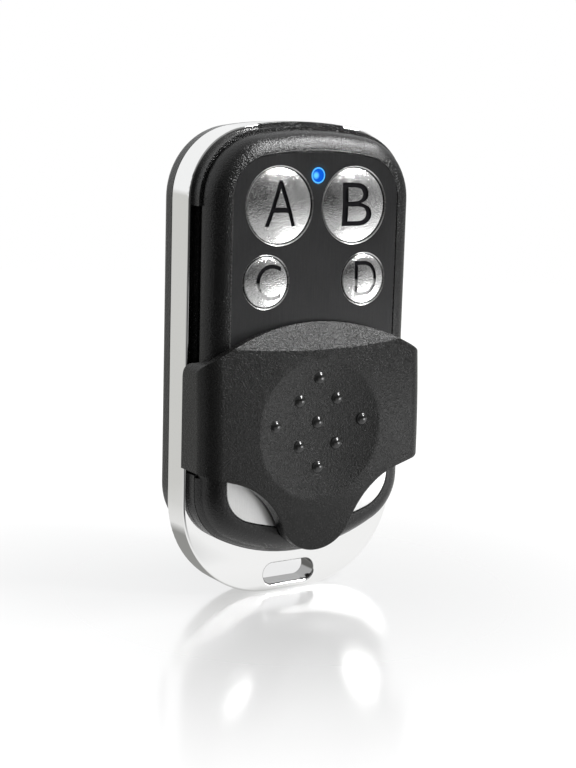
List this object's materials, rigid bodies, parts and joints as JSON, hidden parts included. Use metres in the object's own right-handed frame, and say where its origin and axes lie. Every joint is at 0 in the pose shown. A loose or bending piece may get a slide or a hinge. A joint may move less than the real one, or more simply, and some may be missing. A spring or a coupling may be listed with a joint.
{
  "type": "garage door remote",
  "caption": "Small key-ring radio remote with round push buttons on a metal face plate and a sliding cover that goes up over them, in a bright metal frame.",
  "frame": {"origin": "under the middle of the remote, on the surface that its key-ring end stands on", "axes": "+Z along the length from the key-ring end to the top, -Y out of the buttons, +Y out of the back cover, +X to the right as the buttons are seen"},
  "size_m": [0.034, 0.0143, 0.0625],
  "materials": {
    "frame_chrome": "polished chrome plate",
    "button_chrome": "satin chrome plate",
    "shell_black": "fine grained",
    "cover_black": "fine grained",
    "plate_aluminium": "satin below, black anodised and brushed above",
    "light_blue": "clear tinted",
    "led_white": "moulded",
    "board_green": "solder mask",
    "battery_case": "plain sleeve",
    "contact_nickel": "nickel plate",
    "chip_black": "moulded",
    "can_steel": "bright",
    "coil_red": "moulded",
    "chip_tan": "ceramic",
    "wire_copper": "bare wire",
    "screw_steel": "zinc plate",
    "switch_black": "moulded",
    "plunger_tan": "moulded"
  },
  "bodies": {
    "remote_body": {"chrome_frame": "frame_chrome", "front_housing": "shell_black", "back_cover": "shell_black", "face_plate": "plate_aluminium", "light_pipe": "light_blue", "status_led": "led_white", "circuit_board": "board_green", "battery": "battery_case", "battery_contact_plus": "contact_nickel", "battery_contact_minus": "contact_nickel", "encoder_chip": "chip_black", "resonator_can": "can_steel", "tuning_coil": "coil_red", "chip_parts": "chip_tan", "antenna_loop": "wire_copper", "back_screws": "screw_steel", "switch_body_a": "switch_black", "switch_body_b": "switch_black", "switch_body_c": "switch_black", "switch_body_d": "switch_black"},
    "cover": {"slide_cover": "cover_black"},
    "key_a": {"button_a": "button_chrome", "switch_plunger_a": "plunger_tan"},
    "key_b": {"button_b": "button_chrome", "switch_plunger_b": "plunger_tan"},
    "key_c": {"button_c": "button_chrome", "switch_plunger_c": "plunger_tan"},
    "key_d": {"button_d": "button_chrome", "switch_plunger_d": "plunger_tan"}
  },
  "joints": [
    {"name": "cover_slide", "type": "slide", "parent": "remote_body", "child": "cover", "axis": [0, 0, 1], "range_m": [0, 0.0195]},
    {"name": "key_a_press", "type": "slide", "parent": "remote_body", "child": "key_a", "axis": [0, 1, 0], "range_m": [0, 0.00025], "stiffness_N_per_m": 600},
    {"name": "key_b_press", "type": "slide", "parent": "remote_body", "child": "key_b", "axis": [0, 1, 0], "range_m": [0, 0.00025], "stiffness_N_per_m": 600},
    {"name": "key_c_press", "type": "slide", "parent": "remote_body", "child": "key_c", "axis": [0, 1, 0], "range_m": [0, 0.00025], "stiffness_N_per_m": 600},
    {"name": "key_d_press", "type": "slide", "parent": "remote_body", "child": "key_d", "axis": [0, 1, 0], "range_m": [0, 0.00025], "stiffness_N_per_m": 600}
  ]
}
